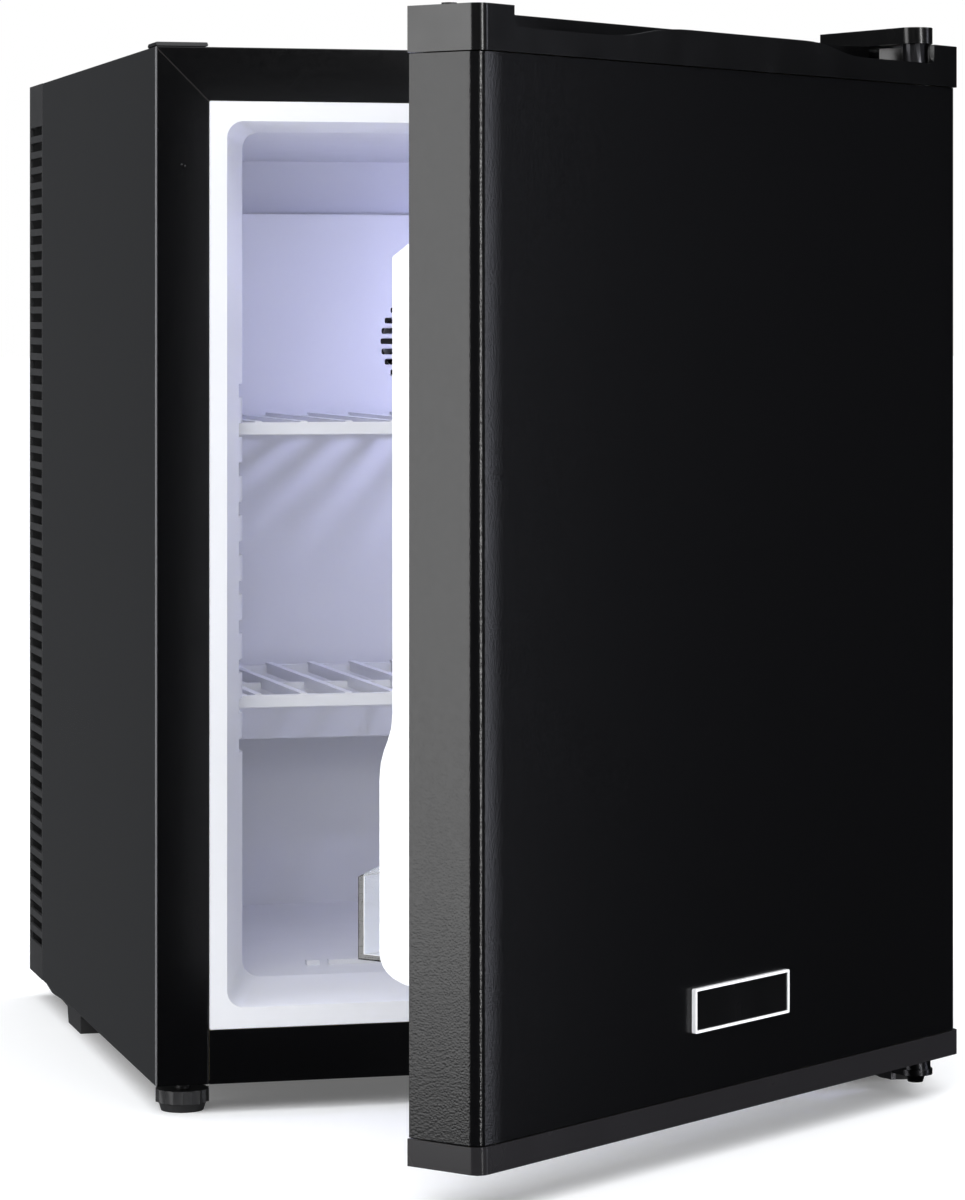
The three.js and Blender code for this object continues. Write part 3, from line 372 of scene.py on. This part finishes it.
# ---------------------------------------------------------------- pieces made here
def mesh_piece(name, vertices, faces, body, look):
    """A new piece that rides on a body and takes its finish from a slot."""
    data = bpy.data.meshes.new(name)
    data.from_pydata(vertices, [], faces)
    data.validate()
    piece = bpy.data.objects.new(name, data)
    bpy.context.scene.collection.objects.link(piece)
    paint(piece, look)
    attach(piece, body)
    return piece


def face_out(piece):
    """Turns every face of a closed mesh outwards."""
    mesh = bmesh.new()
    mesh.from_mesh(piece.data)
    bmesh.ops.recalc_face_normals(mesh, faces=mesh.faces)
    mesh.to_mesh(piece.data)
    mesh.free()


# the closed door's sheet, seen from the hinge axis
SKIN_LEFT, SKIN_RIGHT, SKIN_FACE, SKIN_REAR = -391 * MM, 27 * MM, -10 * MM, 31 * MM
SKIN_SHEET = 0.8 * MM
SKIN_CORNER = 6 * MM
CORNER_STEPS = 14
ROLL_WIDTH = 18 * MM  # the face eases back over this width, next to each corner
ROLL_DEPTH = 1.3 * MM
ROLL_STEPS = 10


def skin_corner(inset):
    """Half the sheet's outline, from its rear edge round the corner to the flat: (from the side, y)."""
    lean = math.atan(2 * ROLL_DEPTH / ROLL_WIDTH)
    radius = SKIN_CORNER - inset
    turn_end = math.pi / 2 - lean
    start = SKIN_CORNER - SKIN_CORNER * math.sin(lean)
    depth = ROLL_DEPTH * (1 - start / ROLL_WIDTH) ** 2
    centre_y = SKIN_FACE + depth + SKIN_CORNER * math.cos(lean)
    points = [(inset, SKIN_REAR)]
    for i in range(CORNER_STEPS + 1):
        turn = turn_end * i / CORNER_STEPS
        points.append((SKIN_CORNER - radius * math.cos(turn), centre_y - radius * math.sin(turn)))
    for i in range(1, ROLL_STEPS + 1):
        across = start + (ROLL_WIDTH - start) * i / ROLL_STEPS
        points.append((across, SKIN_FACE + inset + ROLL_DEPTH * (1 - across / ROLL_WIDTH) ** 2))
    return points


def add_door_skin():
    """The door's folded sheet, whose face rolls gently into its two rounded corners."""
    low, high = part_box("door_panel")
    outlines = []
    for inset in (0, SKIN_SHEET):
        half = skin_corner(inset)
        left = [(SKIN_LEFT + across, y) for across, y in half]
        right = [(SKIN_RIGHT - across, y) for across, y in reversed(half)]
        outlines.append(left + right)
    count = len(outlines[0])
    rings = [(outline, z) for z in (low.z, high.z) for outline in outlines]
    vertices = [
        DOOR_PLACE @ Vector((x, y, z - HINGE.z)) for outline, z in rings for x, y in outline
    ]
    outer_low, inner_low, outer_high, inner_high = (i * count for i in range(4))
    faces = []
    for i in range(count - 1):
        for a, b in (
            (outer_low, outer_high), (outer_high, inner_high),
            (inner_high, inner_low), (inner_low, outer_low),
        ):
            faces.append((a + i, a + i + 1, b + i + 1, b + i))
    for i in (0, count - 1):
        faces.append((outer_low + i, inner_low + i, inner_high + i, outer_high + i))
    piece = mesh_piece("door_skin", vertices, faces, "door", DOOR_SKIN)
    face_out(piece)
    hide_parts("door_panel")
    return piece


# the seal's section: (in from its outer edge, back from the hinge axis)
SEAL_SECTION = [
    (0, 31.2), (18, 31.2), (18, 33), (15.5, 34), (17.6, 36.5), (17.8, 39), (15.8, 40.4), (15.5, 42.6),
    (9, 42.6), (8.6, 40.4), (5, 39.2), (4.4, 37), (7.5, 34), (0, 33),
]
SEAL_LEFT, SEAL_RIGHT, SEAL_LOW, SEAL_HIGH = -377 * MM, 13 * MM, 12.9 * MM, 519.6 * MM


def add_gasket():
    """The door's seal: a bellows with a flat magnet pad, mitred at its corners."""
    vertices = []
    for across, back in SEAL_SECTION:
        inset, y = across * MM, back * MM
        left, right = SEAL_LEFT + inset, SEAL_RIGHT - inset
        low, high = SEAL_LOW + inset, SEAL_HIGH - inset
        for x, z in ((left, low), (right, low), (right, high), (left, high)):
            vertices.append(DOOR_PLACE @ Vector((x, y, z)))
    count = len(SEAL_SECTION)
    faces = []
    for i in range(count):
        for corner in range(4):
            beside = (corner + 1) % 4
            here, there = 4 * i, 4 * ((i + 1) % count)
            faces.append((here + corner, here + beside, there + beside, there + corner))
    piece = mesh_piece("bellows_gasket", vertices, faces, "door", GASKET)
    face_out(piece)
    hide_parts("door_gasket")
    return piece


# two tiny raised dots on the left of the front frame: (from its left side, below its top)
FRAME_DOTS = ((13.75 * MM, 60.5 * MM), (15.5 * MM, 61.25 * MM))
# (radius, height) of the dome's rings
DOT_PROFILE = ((0.55 * MM, -0.05 * MM), (0.5 * MM, 0.08 * MM), (0.3 * MM, 0.16 * MM))
DOT_SIDES = 16


def add_frame_dots():
    """Low domes, sunk a little into the sheet."""
    low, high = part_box("outer_shell")
    for i, (across, down) in enumerate(FRAME_DOTS):
        vertices = []
        for radius, height in DOT_PROFILE:
            for k in range(DOT_SIDES):
                turn = math.tau * k / DOT_SIDES
                x = low.x + across + radius * math.cos(turn)
                z = high.z - down + radius * math.sin(turn)
                vertices.append(Vector((x, low.y - height, z)))
        faces = [tuple(range(DOT_SIDES)), tuple(range(2 * DOT_SIDES, 3 * DOT_SIDES))]
        for ring in (0, DOT_SIDES):
            for k in range(DOT_SIDES):
                beside = (k + 1) % DOT_SIDES
                faces.append((ring + k, ring + beside, ring + DOT_SIDES + beside, ring + DOT_SIDES + k))
        piece = mesh_piece(f"frame_dot_{i + 1}", vertices, faces, "cabinet", DOTS)
        face_out(piece)
        for face in piece.data.polygons:
            face.use_smooth = True


add_frame_dots()

MADE = {add_door_skin(): 0.0003, add_gasket(): 0.0005}  # width of the softened edge, in metres


# ---------------------------------------------------------------- smooth shading
def shade(piece, bevelled):
    """Smooth shading over curves and softened edges, flat over flats."""
    for face in piece.data.polygons:
        face.use_smooth = True
    if bevelled:
        weighted = piece.modifiers.new("normals", "WEIGHTED_NORMAL")
        weighted.weight = 100
        weighted.keep_sharp = True
        return
    if not piece.modifiers:
        weld = piece.modifiers.new("weld", "WELD")
        weld.merge_threshold = WELD_WITHIN
    split = piece.modifiers.new("creases", "EDGE_SPLIT")
    split.split_angle = SMOOTH_UP_TO


for piece, width in MADE.items():
    soften(piece, width)
for name, node in nodes.items():
    shade(node, name in EDGES)
for piece in MADE:
    shade(piece, True)


# ---------------------------------------------------------------- studio
def area_light(name, place, aim, size, power, colour=(1, 1, 1)):
    data = bpy.data.lights.new(name, "AREA")
    data.shape = "RECTANGLE"
    data.size, data.size_y = size
    data.energy = power
    data.color = colour
    light = bpy.data.objects.new(name, data)
    light.location = place
    light.rotation_euler = (Vector(aim) - Vector(place)).to_track_quat("-Z", "Y").to_euler()
    bpy.context.scene.collection.objects.link(light)
    return light


CENTRE = (0, 0, 0.28)
DOOR_EDGE = (-0.13, -0.36, 0.3)  # the door's free edge, half way up
area_light("left_softbox", place=(-2.4, -0.45, 0.7), aim=(0, -0.1, 0.3), size=(1.0, 2.2), power=40)
area_light("front_softbox", place=(-1.3, -2.4, 1.9), aim=CENTRE, size=(1.4, 1.4), power=20)
area_light("front_strip", place=(1.06, -2.66, 0.4), aim=DOOR_EDGE, size=(0.25, 1.8), power=40)
area_light("rim_strip", place=(2.0, 1.6, 1.9), aim=(0, -0.2, 0.5), size=(1.0, 0.6), power=16)
area_light(
    "right_strip", place=(2.4, -0.91, 0.5), aim=(0, -0.2, 0.3), size=(0.35, 2.0), power=10.5,
    colour=(0.86, 0.88, 1.0),
)

OVERHEAD_POWER = 1.9
OVERHEAD_SPREAD = math.radians(110)
OVERHEAD_TURN = (math.radians(8), math.radians(6), 0)


def overhead_light():
    """A wide even glow from above, the same all over the floor."""
    data = bpy.data.lights.new("overhead", "SUN")
    data.energy = OVERHEAD_POWER
    data.angle = OVERHEAD_SPREAD
    light = bpy.data.objects.new("overhead", data)
    light.rotation_euler = OVERHEAD_TURN
    bpy.context.scene.collection.objects.link(light)


overhead_light()

lens_low, lens_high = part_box("lamp_lens")
LAMP_COLOUR = (0.56, 0.58, 1.0)
LAMP_DROP = Vector((0, 0, 0.012))  # below the middle of the lens
LAMP_AIM = Vector((0, 0.12, -0.2))  # down, and a little towards the back wall
lamp_at = (lens_low + lens_high) / 2 - LAMP_DROP
area_light(
    "interior_lamp", place=lamp_at, aim=lamp_at + LAMP_AIM, size=(0.05, 0.02), power=0.34,
    colour=LAMP_COLOUR,
)

PALE = Look("pale_floor", (0.92, 0.92, 0.92), 0.7, Specular_IOR_Level=0.1, Emission_Strength=0.13)
PALE.shader.inputs["Emission Color"].default_value = (1, 1, 1, 1)


def add_floor():
    """A pale flat floor, too wide for its edge to show. Gloss on the fridge doesn't pick it up."""
    reach = 40
    corners = [(-reach, -reach, 0), (reach, -reach, 0), (reach, reach, 0), (-reach, reach, 0)]
    data = bpy.data.meshes.new("floor")
    data.from_pydata(corners, [], [(0, 1, 2, 3)])
    floor = bpy.data.objects.new("floor", data)
    floor.data.materials.append(PALE.material)
    floor.visible_glossy = False
    bpy.context.scene.collection.objects.link(floor)


add_floor()


BACK_LEFT = (-0.35, 0.94, 0.0)  # where the glow on the cabinet's left side comes from
BACK_LEFT_GLOW = 0.1
BACK_LEFT_EDGE = (0.55, 0.98)  # closeness to that direction where its glow starts, and is full
CEILING = (0.0, 0.0, 1.0)
CEILING_GLOW = 0.9
CEILING_EDGE = (0.35, 0.75)
ROOM_TINT = (0.92, 0.95, 1.0)
DARKEST = 0.01


def glow(tree, direction, start, end, level):
    """Light that rises smoothly from none to level as a ray turns towards a direction."""
    toward = tree.nodes.new("ShaderNodeVectorMath")
    toward.operation = "DOT_PRODUCT"
    toward.inputs[1].default_value = direction
    tree.links.new(tree.nodes.new("ShaderNodeTexCoord").outputs["Generated"], toward.inputs[0])
    ramp = tree.nodes.new("ShaderNodeMapRange")
    ramp.interpolation_type = "SMOOTHSTEP"
    tree.links.new(toward.outputs["Value"], ramp.inputs["Value"])
    ramp.inputs["From Min"].default_value = start
    ramp.inputs["From Max"].default_value = end
    ramp.inputs["To Max"].default_value = level
    return ramp.outputs["Result"]


def added(tree, a, b):
    total = tree.nodes.new("ShaderNodeMath")
    tree.links.new(a, total.inputs[0])
    if isinstance(b, float):
        total.inputs[1].default_value = b
    else:
        tree.links.new(b, total.inputs[1])
    return total.outputs["Value"]


def add_world():
    """White behind the fridge; for light and gloss, a dark studio with a bright ceiling and back left."""
    world = bpy.data.worlds.new("studio")
    world.use_nodes = True
    tree = world.node_tree
    room, backdrop = tree.nodes["Background"], tree.nodes.new("ShaderNodeBackground")
    backdrop.inputs["Color"].default_value = (1, 1, 1, 1)
    room.inputs["Color"].default_value = (*ROOM_TINT, 1)
    ceiling = glow(tree, CEILING, *CEILING_EDGE, CEILING_GLOW)
    wall = glow(tree, BACK_LEFT, *BACK_LEFT_EDGE, BACK_LEFT_GLOW)
    tree.links.new(added(tree, added(tree, ceiling, wall), DARKEST), room.inputs["Strength"])
    mixed = tree.nodes.new("ShaderNodeMixShader")
    tree.links.new(tree.nodes.new("ShaderNodeLightPath").outputs["Is Camera Ray"], mixed.inputs[0])
    tree.links.new(room.outputs[0], mixed.inputs[1])
    tree.links.new(backdrop.outputs[0], mixed.inputs[2])
    tree.links.new(mixed.outputs[0], tree.nodes["World Output"].inputs["Surface"])
    bpy.context.scene.world = world


add_world()
bpy.context.scene.view_settings.view_transform = "Standard"
